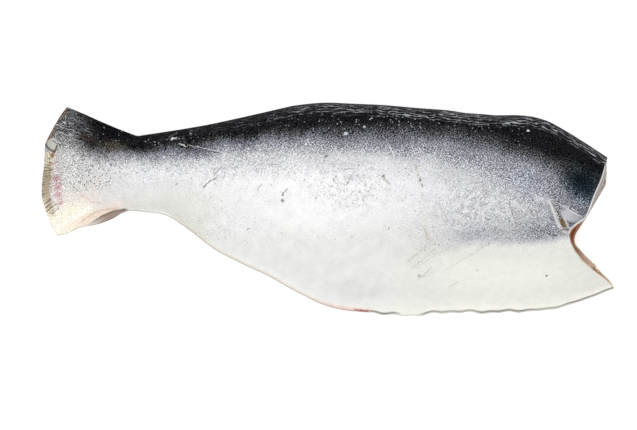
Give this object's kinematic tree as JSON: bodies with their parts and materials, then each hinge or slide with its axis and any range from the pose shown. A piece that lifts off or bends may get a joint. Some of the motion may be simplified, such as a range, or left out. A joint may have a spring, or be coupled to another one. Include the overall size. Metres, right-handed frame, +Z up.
{
  "type": "headless fish",
  "caption": "Gutted headless pangasius lying on its side, fins trimmed, with a cut tail stub, a slanted head cut and an empty slit belly.",
  "frame": {"origin": "middle of the fish's box, on the table that it lies on", "axes": "+X from the cut tail to the cut head end, +Y from the belly to the back, +Z up from the table, out of the flank that shows"},
  "size_m": [0.4016, 0.1494, 0.059],
  "materials": {
    "fish_skin": "wet, dark grey back fading to a white belly"
  },
  "bodies": {
    "root": {"headless_pangasius": "fish_skin"}
  },
  "joints": []
}
